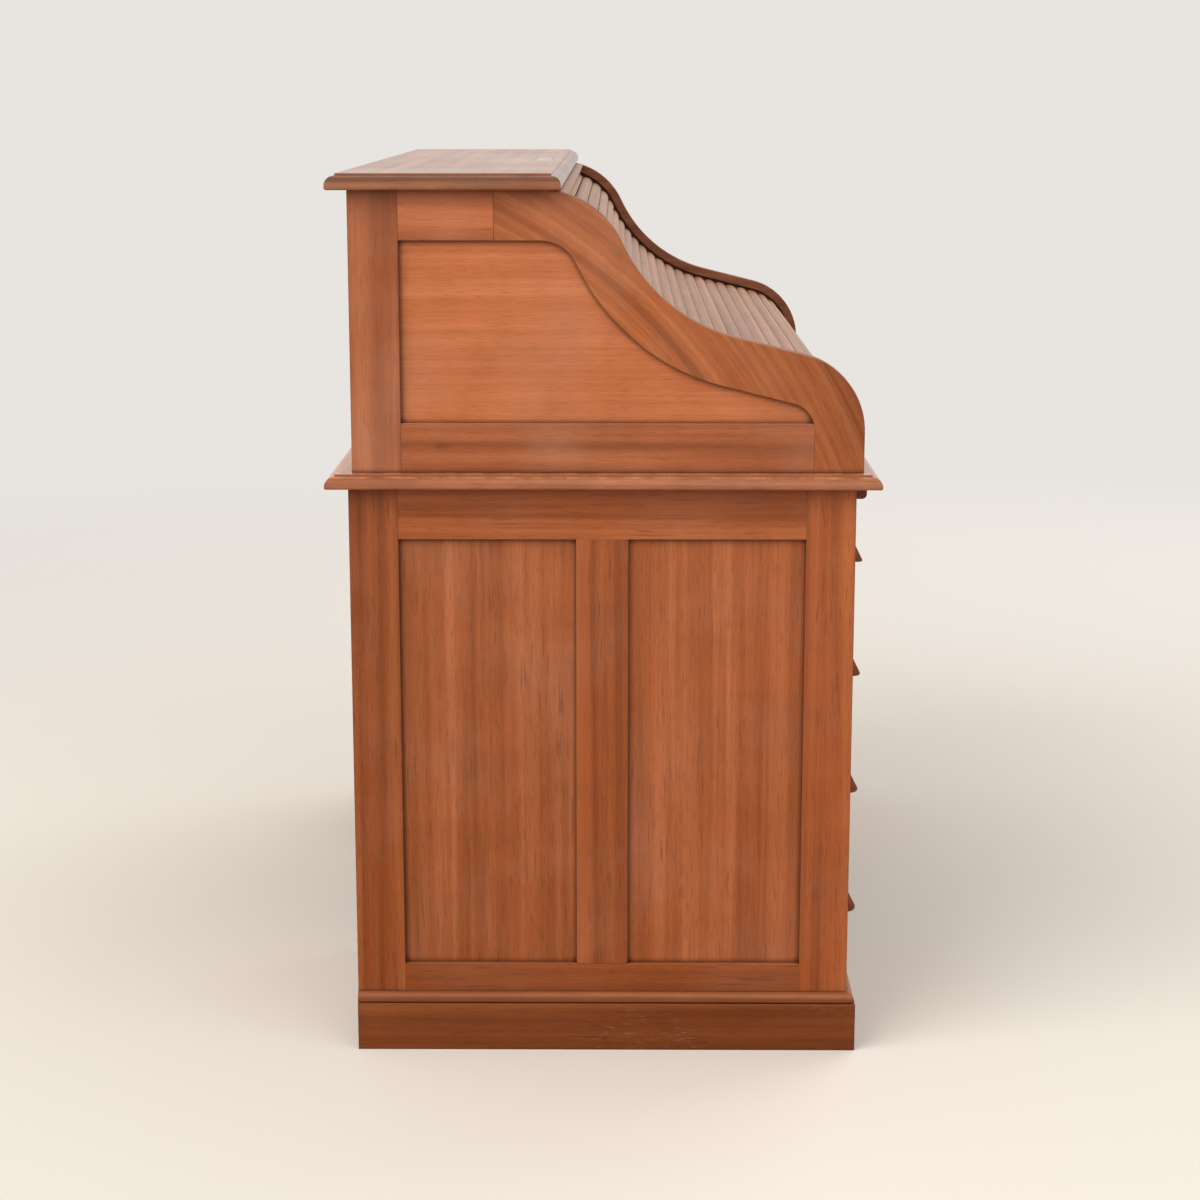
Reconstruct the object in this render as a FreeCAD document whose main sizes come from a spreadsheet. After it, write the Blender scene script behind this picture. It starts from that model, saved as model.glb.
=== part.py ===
"""Roll-top pedestal desk, in millimetres. X runs along the desk, the front faces -Y, and Z is up.

The origin is on the floor, under the middle of the writing board.
"""
import FreeCAD, Part
import math
import os
import re

doc = FreeCAD.newDocument("roll_top_desk")
sheet = doc.addObject("Spreadsheet::Sheet", "dims")

# Driving dimensions
SIZES = {
    # Overall
    "case_width": 1240,         # over the two sides
    "board_height": 762,        # floor to writing surface
    "board_thick": 18,
    "side_overhang": 28,        # both boards past the sides
    "back_overhang": 27,        # writing board past the pedestal backs
    "front_overhang": 30,       # writing board past the pedestal fronts
    "case_margin": 21.5,        # writing board past the front of the upper case
    "edge_radius": 12,          # quarter round on the edges of both boards
    "edge_step": 2.5,           # small step above the quarter round
    "edge_under": 3,            # rounding of the lower edges of both boards
    # Pedestals
    "pedestal_width": 380,
    "pedestal_depth": 638,
    "side_thick": 22,
    "inner_side_thick": 18,
    "plinth_height": 63,
    "plinth_thick": 20,
    "plinth_proud": 11,
    "moulding_height": 14,
    "moulding_proud": 9,        # less than the plinth, so that a ledge shows under it
    "moulding_radius": 8,
    "moulding_quirk": 3,        # rounding of its lower edge
    "frame_width": 62,          # stiles and rails of the sides
    "muntin_width": 66,
    "upper_rail": 67,
    "lower_rail": 52,
    "panel_thick": 8,
    "panel_recess": 8,
    "panel_tongue": 8,          # how far a panel reaches under its frame
    "panel_play": 0.5,
    "back_member": 55,          # stiles and rails of the backs
    "back_thick": 12,
    "kneehole_back_drop": 540,
    # Drawers
    "base_rail": 16,
    "drawer_rail": 14,
    "drawer_rail_depth": 60,
    "runner_width": 22,
    "drawer_step": 6.5,         # each drawer is this much deeper than the one above
    "drawer_play": 1.0,         # gap round a drawer front
    "rest_play": 0.3,           # gap under what slides
    "front_thick": 20,
    "front_chamfer": 1.5,
    "drawer_back_gap": 38,      # drawers end this far in front of the pedestal backs
    "drawer_board": 11,         # sides and backs of the drawer boxes
    "drawer_bottom": 6,
    "drawer_headroom": 12,      # the box is this much lower than its front
    "bottom_rise": 8,           # drawer bottoms above the lower edges of the sides
    "tail_spacing": 38,         # least height of drawer side for each dovetail
    "tail_lap": 6,              # wood of the front left over the dovetails
    "tail_pin": 11,             # widest part of the front's wood between two dovetails
    "tail_slope": 8,            # degrees that a dovetail spreads on each side
    "kneehole_front": 72,
    "kneehole_length": 460,
    "bearer": 22,
    # Lip handles
    "handle_width": 124,
    "handle_reach": 28,
    "handle_height": 54,
    "handle_top_reach": 1.5,
    "handle_rake": 18,          # degrees that the underside rises towards the drawer
    # Pull-out slides
    "slide_thick": 18,
    "slide_play": 0.5,
    "slide_rail": 13,
    "slide_length": 440,
    "slide_lip": 15,
    "slide_nose": 6,
    # Upper case and its S-shaped edge
    "case_inset": 5.5,          # case back in from the pedestal backs
    "case_depth": 641,
    "case_height": 350,
    "nose_radius": 98,
    "run_angle": 14,            # slope of the straight run behind the nose
    "run_length": 90,
    "nose_rise": 52,            # upright part of the edge below the nose
    "crown_angle": 65,
    "crown_radius": 112,
    "joint_setback": 56.6,      # joint of curved rail and top rail, behind the end of the S
    "top_thick": 20,
    "top_front_overhang": 26.9, # top board past the end of the S
    "top_back_overhang": 24.5,
    "plate_length": 170,
    "plate_width": 24,
    "plate_thick": 2,
    "plate_from_front": 39,     # middle of the plate behind the top board's front edge
    # Tambour
    "slat_pitch": 18.8,
    "slat_gap": 0.3,
    "slat_thick": 6.5,
    "slat_shoulder": 3,
    "slat_relief": 0.1,         # each side leans in by this much, so that the curtain can bend
    "canvas_thick": 0.8,
    "tambour_drop": 22.5,       # canvas line below the side's edge
    "groove_play": 3,
    "groove_depth": 8,
    "groove_end_play": 0.7,
    "storage_back": 34,         # canvas line of the stored tambour, from the case back
    "storage_radius": 42,
    "storage_floor": 12,        # stored tambour stops this far above the writing board
    "lift_height": 66,
    "lift_thick": 15,
    "lift_round": 3,
    "lift_end_play": 1,
    "lift_pull_width": 86,
    "lift_pull_reach": 15,
    "lift_pull_height": 32,
    "lift_pull_spread": 560,
    "lock_width": 64,
    "lock_height": 36,
    "lock_thick": 10,
    "escutcheon_width": 24,
    "escutcheon_height": 34,
    "escutcheon_thick": 1.2,
    "keyhole_radius": 3,
    "keyhole_slot": 12,
    "valance_thick": 10,
    "valance_nose": 9,          # in front of the top board
    "valance_tail": 12,         # behind the end of the S
    # Pigeonhole fitting
    "pigeon_headroom": 27,      # room under the canvas line
    "pigeon_setback": 3.8,      # front edges behind the end of the S
    "pigeon_back_gap": 6,       # room between the stored canvas and the inner back
    "pigeon_board": 8,
    "pigeon_divider": 6,
    "pigeon_bay": 300,          # width of each end bay
    "pigeon_shelf": 150,        # height of the middle shelf
    "pigeon_play": 1,
    "small_front": 62,
    "small_board": 7,
    "knob_radius": 9,
    "knob_neck": 5,
    "knob_reach": 16,
    "knob_rim": 3,
}
# Sizes that follow from the others, each from sizes above it
FOLLOWING = {
    # The writing board covers the pedestals under it and the case on it
    "board_depth": "max(pedestal_depth + front_overhang; case_inset + case_depth + case_margin) + back_overhang",
    "drawer_length": "pedestal_depth - drawer_back_gap",
    # The hollow of the S takes up what the nose and the crown leave of the case height
    "hollow_radius": "(case_height - nose_rise - crown_radius * (1 - cos(crown_angle)) - run_length * sin(run_angle)"
                     " - nose_radius * cos(run_angle)) / (cos(run_angle) - cos(crown_angle))",
    # The S ends this far in front of the case back
    "crown_back": "case_depth - crown_radius * sin(crown_angle) - hollow_radius * (sin(crown_angle)"
                  " - sin(run_angle)) - run_length * cos(run_angle) - nose_radius * (1 - sin(run_angle))",
    "joint_back": "crown_back - joint_setback",
    "top_depth": "crown_back + top_front_overhang + top_back_overhang",
    # Canvas line of the shut tambour, from the writing board to the end of the S
    "tambour_path": "nose_rise + run_length + pi / 180 * ((nose_radius - tambour_drop) * (90 - run_angle)"
                    " + (hollow_radius + tambour_drop) * (crown_angle - run_angle)"
                    " + (crown_radius - tambour_drop) * crown_angle)",
    "slat_count": "2 * ceil((tambour_path - rest_play - lift_height) / (2 * slat_pitch))",
    "pigeon_height": "case_height - tambour_drop - pigeon_headroom",
    "pigeon_depth": "crown_back - pigeon_setback - storage_back - pigeon_back_gap - pigeon_board",
}
cells = [(alias, str(number)) for alias, number in SIZES.items()]
cells += [(alias, "=" + rule) for alias, rule in FOLLOWING.items()]
for row, (alias, content) in enumerate(cells, start=1):
    sheet.set(f"A{row}", alias)
    sheet.set(f"B{row}", content)
    sheet.setAlias(f"B{row}", alias)
    doc.recompute()

NAMES = {alias for alias, content in cells}
SAME_PLACE = 1e-4               # edges this close to a height count as being at it

NODES = []


def bound(text):
    """Turn plain size names into references to the sheet's cells."""
    return re.sub(r"[a-z_]+", lambda m: "dims." + m.group() if m.group() in NAMES else m.group(), text)


def value(text):
    """The number that an expression in size names stands for."""
    return float(sheet.evalExpression(bound(text)))


def node(obj, label):
    """Give a finished piece the name that its file will have."""
    obj.Label = label
    NODES.append(obj)
    return obj


def group(label, pieces):
    """One node of several separate solids."""
    compound = doc.addObject("Part::Compound", label)
    compound.Links = pieces
    return node(compound, label)


def mirrored(obj, label):
    """The same piece on the other end of the desk."""
    mirror = doc.addObject("Part::Mirroring", label)
    mirror.Source = obj
    mirror.Normal = (1, 0, 0)
    return mirror


def board(name, x, y, z):
    """A plain board. Each of x, y and z is a pair: where it starts and how long it is."""
    box = doc.addObject("Part::Box", name)
    for side, axis, (start, length) in zip(("Length", "Width", "Height"), "xyz", (x, y, z)):
        box.setExpression(side, bound(length))
        box.setExpression(f"Placement.Base.{axis}", bound(start))
    return box


def cut(name, base, tool):
    """A piece with another one taken out of it."""
    result = doc.addObject("Part::Cut", name)
    result.Base = base
    result.Tool = tool
    return result


# Sketch helpers
def plane(body, role):
    return next(f for f in body.Origin.OriginFeatures if f.Role == role)


def sketch(body, role, outline, offset=None):
    """A closed sketch on one of the body's planes, moved along the plane's normal by offset."""
    sk = body.newObject("Sketcher::SketchObject", body.Name + "_outline")
    sk.AttachmentSupport = [(plane(body, role), "")]
    sk.MapMode = "FlatFace"
    if offset:
        sk.setExpression("AttachmentOffset.Base.z", bound(offset))
    for piece in outline:
        sk.addGeometry(piece, False)
    return sk


def line(p, q):
    return Part.LineSegment(FreeCAD.Vector(*p, 0), FreeCAD.Vector(*q, 0))


def arc(p, middle, q):
    return Part.Arc(FreeCAD.Vector(*p, 0), FreeCAD.Vector(*middle, 0), FreeCAD.Vector(*q, 0))


def polygon(points):
    return [line(p, q) for p, q in zip(points, points[1:] + points[:1])]


def rectangle(low, high):
    return polygon([low, (high[0], low[1]), high, (low[0], high[1])])


def pad(body, sk, length):
    feature = body.newObject("PartDesign::Pad", body.Name + "_pad")
    feature.Profile = sk
    feature.setExpression("Length", bound(length))
    return feature


def pocket(body, sk, depth):
    feature = body.newObject("PartDesign::Pocket", body.Name + "_pocket")
    feature.Profile = sk
    feature.setExpression("Length", bound(depth))
    return feature


def dress(body, kind, size_name, size, keep):
    """Fillet or chamfer the edges of the body's tip that keep(edge) picks."""
    doc.recompute()
    tip = body.Tip
    names = [f"Edge{i}" for i, e in enumerate(tip.Shape.Edges, start=1) if keep(e)]
    feature = body.newObject(f"PartDesign::{kind}", f"{body.Name}_{kind.lower()}")
    feature.Base = (tip, names)
    feature.setExpression(size_name, bound(size))
    return feature


def level(edge, axis, height):
    """True where the whole edge lies at one height along an axis."""
    box = edge.BoundBox
    low, high = (getattr(box, axis + end) for end in ("Min", "Max"))
    return abs(low - height) < SAME_PLACE and abs(high - height) < SAME_PLACE


# Places that many pieces share, as expressions
LEFT = "(-case_width / 2)"
UNDER = "(board_height - board_thick)"
CASE_TOP = "(board_height + case_height)"
PEDESTAL_BACK = "(board_depth / 2 - back_overhang)"
PEDESTAL_FRONT = f"({PEDESTAL_BACK} - pedestal_depth)"
CASE_BACK = f"({PEDESTAL_BACK} - case_inset)"
INSIDE_LEFT = f"({LEFT} + side_thick)"
KNEEHOLE_LEFT = f"({LEFT} + pedestal_width)"
BAY_WIDTH = "(pedestal_width - side_thick - inner_side_thick)"
INSIDE_WIDTH = "(case_width - 2 * side_thick)"
BACK_FACE = f"({PEDESTAL_BACK} - back_thick - panel_thick)"


# Boards with a moulded edge
def moulded_board(label, depth, thick, back, low):
    """A wide board with a step, a quarter round and a rounded lower edge on all four sides."""
    body = doc.addObject("PartDesign::Body", label)
    half = value("case_width / 2 + side_overhang")
    deep = value(depth)
    inset = value("edge_radius")
    outer = sketch(body, "XY_Plane", rectangle((-half, -deep), (half, 0)))
    pad(body, outer, f"{thick} - edge_step")
    crest = value(f"{thick} - edge_step")
    dress(body, "Fillet", "Radius", "edge_radius", lambda e: level(e, "Z", crest))
    dress(body, "Fillet", "Radius", "edge_under", lambda e: level(e, "Z", 0))
    table = rectangle((inset - half, inset - deep), (half - inset, -inset))
    pad(body, sketch(body, "XY_Plane", table, f"{thick} - edge_step"), "edge_step")
    body.setExpression("Placement.Base.y", bound(back))
    body.setExpression("Placement.Base.z", bound(low))
    return body


TOP_BACK = f"({CASE_BACK} + top_back_overhang)"
TOP_FRONT = f"({TOP_BACK} - top_depth)"


def boards():
    node(moulded_board("writing_board", "board_depth", "board_thick", "board_depth / 2", UNDER), "writing_board")
    top = moulded_board("top_slab", "top_depth", "top_thick", TOP_BACK, CASE_TOP)
    plate = board("top_plate", ("-plate_length / 2", "plate_length"),
                  (f"{TOP_FRONT} + plate_from_front - plate_width / 2", "plate_width"),
                  (f"{CASE_TOP} + top_thick - plate_thick", "plate_thick"))
    node(cut("top_board", top, plate), "top_board")
    node(plate, "top_plate")


# Plinths
def plinths():
    front = f"{PEDESTAL_FRONT} - plinth_proud"
    deep = "pedestal_depth + plinth_proud"
    upright = ("0", "plinth_height")
    between = (f"{LEFT} - plinth_proud + plinth_thick", "pedestal_width + 2 * (plinth_proud - plinth_thick)")
    pieces = [
        board("plinth_outer", (f"{LEFT} - plinth_proud", "plinth_thick"), (front, deep), upright),
        board("plinth_inner", (f"{KNEEHOLE_LEFT} + plinth_proud - plinth_thick", "plinth_thick"), (front, deep),
              upright),
        board("plinth_front", between, (front, "plinth_thick"), upright),
        board("plinth_back", between, (f"{PEDESTAL_BACK} - plinth_thick", "plinth_thick"), upright),
    ]
    node(mirrored(group("plinth_left", pieces), "plinth_right"), "plinth_right")


def moulding_strip(name, outline, outer_edge):
    """One strip on the ledge of the left plinth, rounded along its outer edges."""
    body = doc.addObject("PartDesign::Body", name)
    pad(body, sketch(body, "XY_Plane", polygon(outline)), "moulding_height")
    high = value("moulding_height")
    dress(body, "Fillet", "Radius", "moulding_radius", lambda e: level(e, "Z", high) and outer_edge(e))
    dress(body, "Fillet", "Radius", "moulding_quirk", lambda e: level(e, "Z", 0) and outer_edge(e))
    for axis, start in zip("xyz", (LEFT, PEDESTAL_BACK, "plinth_height")):
        body.setExpression(f"Placement.Base.{axis}", bound(start))
    return body


def plinth_mouldings():
    """Rounded strips round three sides of each pedestal, mitred where they meet."""
    proud = value("moulding_proud")
    wide = value("pedestal_width")
    deep = value("pedestal_depth")
    outer = [(-proud, 0), (-proud, -deep - proud), (0, -deep), (0, 0)]
    front = [(-proud, -deep - proud), (wide + proud, -deep - proud), (wide, -deep), (0, -deep)]
    inner = [(wide + proud, -deep - proud), (wide + proud, 0), (wide, 0), (wide, -deep)]
    strips = [
        moulding_strip("moulding_outer", outer, lambda e: level(e, "X", -proud)),
        moulding_strip("moulding_front", front, lambda e: level(e, "Y", -deep - proud)),
        moulding_strip("moulding_inner", inner, lambda e: level(e, "X", wide + proud)),
    ]
    group("plinth_mouldings", strips + [mirrored(s, s.Name + "_right") for s in strips])


# Framed sides
def side_member(name, outline, cuts):
    """A stile or rail of the left side: its outline in Y and Z, and what is cut from its inner face."""
    body = doc.addObject("PartDesign::Body", name)
    pad(body, sketch(body, "YZ_Plane", outline), "side_thick")
    for loop, depth in cuts:
        pocket(body, sketch(body, "YZ_Plane", loop, "side_thick"), depth)
    body.setExpression("Placement.Base.x", bound(LEFT))
    return body


def side_panel(name, outline):
    body = doc.addObject("PartDesign::Body", name)
    pad(body, sketch(body, "YZ_Plane", outline), "panel_thick")
    body.setExpression("Placement.Base.x", bound(f"{LEFT} + panel_recess"))
    return body


REBATE = "side_thick - panel_recess"


def pedestal_sides():
    back = value(PEDESTAL_BACK)
    front = value(PEDESTAL_FRONT)
    low = value("plinth_height")
    high = value(UNDER)
    wide = value("frame_width")
    half_muntin = value("muntin_width / 2")
    middle = (back + front) / 2
    sill = low + value("lower_rail")
    lintel = high - value("upper_rail")
    tongue = value("panel_tongue")
    room = tongue + value("panel_play")

    def opening(grow):
        rear = rectangle((middle + half_muntin - grow, sill - grow), (back - wide + grow, lintel + grow))
        fore = rectangle((front + wide - grow, sill - grow), (middle - half_muntin + grow, lintel + grow))
        return rear, fore

    rear_room, fore_room = ((loop, REBATE) for loop in opening(room))
    pieces = [
        side_member("rear_stile", rectangle((back - wide, low), (back, high)), [rear_room]),
        side_member("front_stile", rectangle((front, low), (front + wide, high)), [fore_room]),
        side_member("muntin", rectangle((middle - half_muntin, sill), (middle + half_muntin, lintel)),
                    [rear_room, fore_room]),
        side_member("top_rail", rectangle((front + wide, lintel), (back - wide, high)), [rear_room, fore_room]),
        side_member("bottom_rail", rectangle((front + wide, low), (back - wide, sill)), [rear_room, fore_room]),
    ]
    node(mirrored(group("side_frame_left", pieces), "side_frame_right"), "side_frame_right")
    panels = [side_panel(f"side_panel_{i}", loop) for i, loop in enumerate(opening(tongue), start=1)]
    group("side_panels", panels + [mirrored(p, p.Name + "_right") for p in panels])


# The S-shaped edge of the upper sides, and everything that runs parallel to it
def edge_start(offset, low):
    """Where a line parallel to the edge meets a height, and how far round the nose that is, in degrees."""
    nose = value("nose_radius")
    nose_height = value("board_height + nose_rise")
    radius = nose + offset
    turned = math.asin(max(0, low - nose_height) / radius)
    back_from_front = nose - radius * math.cos(turned)
    return back_from_front, max(0, nose_height - low), math.degrees(turned)


def edge_moves(offset, low, shelf, stored):
    """The edge from the front up and back, as moves of (length or radius, degrees turned to the left)."""
    rise, turned = edge_start(offset, low)[1:]
    run = value("run_angle")
    crown = value("crown_angle")
    moves = [
        (rise, 0),
        (value("nose_radius") + offset, run + turned - 90),
        (value("run_length"), 0),
        (value("hollow_radius") - offset, crown - run),
        (value("crown_radius") + offset, -crown),
        (shelf, 0),
    ]
    if stored:
        corner = value("storage_radius + tambour_drop")
        fall = value("case_height - tambour_drop - storage_radius - storage_floor")
        moves += [(corner + offset, -90), (fall, 0)]
    return [move for move in moves if move[0] > 0]


def ahead(place, heading, reach, turn):
    """One move of a walk: the place and heading after part of a straight run or of an arc."""
    back, high = place
    way = math.radians(heading)
    if not turn:
        return (back + reach * math.cos(way), high + reach * math.sin(way)), heading
    end = math.radians(heading + turn)
    side = math.copysign(reach, turn)
    place = (back + side * (math.sin(end) - math.sin(way)), high - side * (math.cos(end) - math.cos(way)))
    return place, heading + turn


def shelf_to(from_back):
    """Length of the level run from the end of the S to this far in front of the case back."""
    return value("crown_back") - from_back


def parallel_edge(offset, low, shelf, stored=False):
    """Segments of a line parallel to the edge, in Y and Z, moved outwards by offset."""
    front = value(f"{CASE_BACK} - case_depth")
    place = (edge_start(offset, low)[0], low)
    heading = 90 - edge_start(offset, low)[2]
    pieces = []
    for reach, turn in edge_moves(offset, low, shelf, stored):
        middle = ahead(place, heading, reach if turn else reach / 2, turn / 2)[0]
        end, heading = ahead(place, heading, reach, turn)
        points = [(front + p[0], p[1]) for p in (place, middle, end)]
        pieces.append(arc(*points) if turn else line(points[0], points[2]))
        place = end
    return pieces, (front + edge_start(offset, low)[0], low), (front + place[0], place[1])


def closed_band(outer, inner):
    """A band between two parallel edges, closed across both ends."""
    return outer[0] + inner[0] + [line(outer[1], inner[1]), line(outer[2], inner[2])]


def upper_sides():
    low = value("board_height")
    high = value(CASE_TOP)
    back = value(CASE_BACK)
    front = value(f"{CASE_BACK} - case_depth")
    wide = value("frame_width")
    joint = value("joint_back")
    sill = low + wide
    tongue = value("panel_tongue")
    room = tongue + value("panel_play")
    drop = value("tambour_drop")
    play = value("groove_play")

    def panel_outline(grow):
        edge, start, end = parallel_edge(grow - wide, sill - grow, shelf_to(wide - grow))
        foot = (back - wide + grow, sill - grow)
        return edge + [line(end, foot), line(foot, start)]

    shelf = shelf_to(value("storage_back + storage_radius"))
    groove = closed_band(parallel_edge(play + value("slat_thick") - drop, low, shelf, True),
                         parallel_edge(-drop - play, low, shelf, True))
    groove_cut = (groove, "groove_depth")
    panel_cut = (panel_outline(room), REBATE)
    curved = closed_band(parallel_edge(0, low, shelf_to(joint)), parallel_edge(-wide, low, shelf_to(joint)))
    node(side_member("curved_rail_left", curved, [groove_cut, panel_cut]), "curved_rail_left")
    node(mirrored(NODES[-1], "curved_rail_right"), "curved_rail_right")

    pieces = [
        side_member("case_rear_stile", rectangle((back - wide, low), (back, high)), [groove_cut, panel_cut]),
        side_member("case_top_rail", rectangle((back - joint, high - wide), (back - wide, high)),
                    [groove_cut, panel_cut]),
        side_member("case_bottom_rail", rectangle((front + wide, low), (back - wide, sill)),
                    [(curved, "side_thick"), panel_cut]),
    ]
    node(mirrored(group("upper_frame_left", pieces), "upper_frame_right"), "upper_frame_right")
    panel = side_panel("upper_panel", panel_outline(tongue))
    group("upper_panels", [panel, mirrored(panel, "upper_panel_right")])


# Framed backs
def framed_back(name, left, width, low, height, back, columns):
    """A frame of stiles and rails across a back, with panels laid against its inner face."""
    member = "back_member"
    frame_y = (f"{back} - back_thick", "back_thick")
    panel_y = (f"{back} - back_thick - panel_thick", "panel_thick")
    bay = f"(({width} - {columns + 1} * {member}) / {columns})"
    rails = [
        board(name + "_sill", (left, width), frame_y, (low, member)),
        board(name + "_lintel", (left, width), frame_y, (f"{low} + {height} - {member}", member)),
    ]
    tall = f"{height} - 2 * {member}"
    stiles = [board(f"{name}_stile_{i}", (f"{left} + {i} * ({bay} + {member})", member), frame_y,
                    (f"{low} + {member}", tall)) for i in range(columns + 1)]
    panels = [board(f"{name}_panel_{i}",
                    (f"{left} + {member} - panel_tongue + {i} * ({bay} + {member})", f"{bay} + 2 * panel_tongue"),
                    panel_y, (f"{low} + {member} - panel_tongue", f"{tall} + 2 * panel_tongue"))
              for i in range(columns)]
    return rails + stiles, panels


def backs():
    case = framed_back("case_back", INSIDE_LEFT, INSIDE_WIDTH, "board_height", "case_height", CASE_BACK, 3)
    low = f"({UNDER} - kneehole_back_drop)"
    knee = framed_back("kneehole_back", KNEEHOLE_LEFT, "(case_width - 2 * pedestal_width)", low,
                       "kneehole_back_drop", PEDESTAL_BACK, 1)
    height = f"({UNDER} - plinth_height)"
    left = framed_back("pedestal_back", INSIDE_LEFT, BAY_WIDTH, "plinth_height", height, PEDESTAL_BACK, 1)
    right = [[mirrored(p, p.Name + "_right") for p in pieces] for pieces in left]
    group("back_frames", case[0] + knee[0] + left[0] + right[0])
    group("back_panels", case[1] + knee[1] + left[1] + right[1])


def inner_sides():
    side = board("inner_side", (f"{KNEEHOLE_LEFT} - inner_side_thick", "inner_side_thick"),
                 (PEDESTAL_FRONT, "pedestal_depth"), ("plinth_height", f"{UNDER} - plinth_height"))
    group("inner_sides", [side, mirrored(side, "inner_side_right")])


# Drawers of the pedestals, counted from the top
DRAWERS = 4
STEPS = DRAWERS * (DRAWERS - 1) // 2
SLIDE_LOW = f"({UNDER} - slide_thick - slide_play)"
STACK_TOP = f"({SLIDE_LOW} - rest_play - slide_rail)"
STACK = f"({STACK_TOP} - plinth_height - base_rail - {DRAWERS - 1} * drawer_rail)"


def opening_height(k):
    return f"(({STACK} - {STEPS} * drawer_step) / {DRAWERS} + {k} * drawer_step)"


def opening_low(k):
    return f"({STACK_TOP}" + "".join(f" - {opening_height(i)}" for i in range(k + 1)) + f" - {k} * drawer_rail)"


def drawer_rails():
    """Front rails with a runner at each end, under every drawer and under the slide."""
    levels = [(f"{opening_low(k)} - drawer_rail", "drawer_rail") for k in range(DRAWERS - 1)]
    levels.append(("plinth_height", "base_rail"))
    levels.append((STACK_TOP, "slide_rail"))
    runner_y = (f"{PEDESTAL_FRONT} + drawer_rail_depth", f"{BACK_FACE} - {PEDESTAL_FRONT} - drawer_rail_depth")
    inner_x = f"{KNEEHOLE_LEFT} - inner_side_thick - runner_width"
    pieces = []
    for i, z in enumerate(levels):
        pieces.append(board(f"rail_{i}", (INSIDE_LEFT, BAY_WIDTH), (PEDESTAL_FRONT, "drawer_rail_depth"), z))
        pieces.append(board(f"runner_outer_{i}", (INSIDE_LEFT, "runner_width"), runner_y, z))
        pieces.append(board(f"runner_inner_{i}", (inner_x, "runner_width"), runner_y, z))
    group("drawer_rails", pieces + [mirrored(p, p.Name + "_right") for p in pieces])


def lip_handle(name, size, x, y, z):
    """Half of an upright cone on a flat face, widest at its lower rim, with an underside that rises inwards.

    x and z are the middle of the handle and y is the face it sits on; size names its width, reach and height.
    """
    width, reach, height = size
    rim = f"(({width} * {width} / 4 + {reach} * {reach}) / (2 * {reach}))"
    setback = f"({rim} - {reach})"
    low = f"{z} - {height} / 2"
    cone = doc.addObject("Part::Cone", name + "_cone")
    cone.setExpression("Radius1", bound(rim))
    cone.setExpression("Radius2", bound(f"{setback} + handle_top_reach"))
    cone.setExpression("Height", bound(height))
    for axis, start in zip("xyz", (x, f"{y} + {setback}", low)):
        cone.setExpression(f"Placement.Base.{axis}", bound(start))
    slab = board(name + "_front", (f"{x} - {width}", f"2 * {width}"), (f"{y} - 2 * {reach}", f"2 * {reach}"),
                 (low, height))
    half = doc.addObject("Part::Common", name + "_half")
    half.Base = cone
    half.Tool = slab
    wedge = doc.addObject("Part::Wedge", name + "_wedge")
    wedge.Placement.Rotation = FreeCAD.Rotation(FreeCAD.Vector(0, 0, 1), 180)
    across = f"2 * {width}"
    for corner, place in (("Xmin", "0"), ("Xmax", across), ("X2min", "0"), ("X2max", across), ("Ymin", "0"),
                          ("Ymax", reach), ("Zmin", "0"), ("Zmax", f"{reach} * tan(handle_rake)"),
                          ("Z2min", "0"), ("Z2max", "0")):
        wedge.setExpression(corner, bound(place))
    for axis, start in zip("xyz", (f"{x} + {width}", y, low)):
        wedge.setExpression(f"Placement.Base.{axis}", bound(start))
    return cut(name, half, wedge)


HANDLE = ("handle_width", "handle_reach", "handle_height")


def drawer_front(name, left, width, low, height, face):
    """A front with its four outer edges eased."""
    body = doc.addObject("PartDesign::Body", name)
    outline = rectangle((0, 0), (value(width), value(height)))
    pad(body, sketch(body, "XZ_Plane", outline, "0 - front_thick"), "front_thick")
    dress(body, "Chamfer", "Size", "front_chamfer", lambda e: level(e, "Y", 0))
    for axis, start in zip("xyz", (left, face, low)):
        body.setExpression(f"Placement.Base.{axis}", bound(start))
    return body


def drawer_side(name, left, low, height, face, length):
    """A drawer side with dovetails that reach into the front, as an outline in Y and Z."""
    tall = value(height)
    root = value("front_thick")
    tip = value("tail_lap")
    count = math.floor(tall / value("tail_spacing"))
    pitch = tall / count
    narrow = (pitch - value("tail_pin")) / 2
    broad = narrow + value("(front_thick - tail_lap) * tan(tail_slope)")
    outline = [(root, 0)]
    for tail in range(count):
        middle = (tail + 0.5) * pitch
        outline += [(root, middle - narrow), (tip, middle - broad), (tip, middle + broad), (root, middle + narrow)]
    outline += [(root, tall), (value(length), tall), (value(length), 0)]
    body = doc.addObject("PartDesign::Body", name)
    pad(body, sketch(body, "YZ_Plane", polygon(outline)), "drawer_board")
    for axis, start in zip("xyz", (left, face, low)):
        body.setExpression(f"Placement.Base.{axis}", bound(start))
    return body


def dovetailed_drawer(name, left, width, low, height, length):
    """A drawer behind the pedestals' front line: its front with a handle, and its sides, back and bottom."""
    thick = "drawer_board"
    face = PEDESTAL_FRONT
    tall = f"({height} - drawer_headroom)"
    inside = (f"{left} + {thick}", f"{width} - 2 * {thick}")
    sides = doc.addObject("Part::Compound", name + "_sides")
    sides.Links = [
        drawer_side(name + "_side_1", left, low, tall, face, length),
        drawer_side(name + "_side_2", f"{left} + {width} - {thick}", low, tall, face, length),
    ]
    slab = drawer_front(name + "_slab", left, width, low, height, face)
    handle = lip_handle(name + "_handle", HANDLE, f"({left} + {width} / 2)", face, f"({low} + {height} / 2)")
    front = [cut(name + "_socketed", slab, sides), handle]
    box = sides.Links + [
        board(name + "_back", inside, (f"{face} + {length} - {thick}", thick), (low, tall)),
        board(name + "_bottom", inside, (f"{face} + front_thick", f"{length} - front_thick - {thick}"),
              (f"{low} + bottom_rise", "drawer_bottom")),
    ]
    return group(name + "_front", front), group(name + "_box", box)


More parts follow.
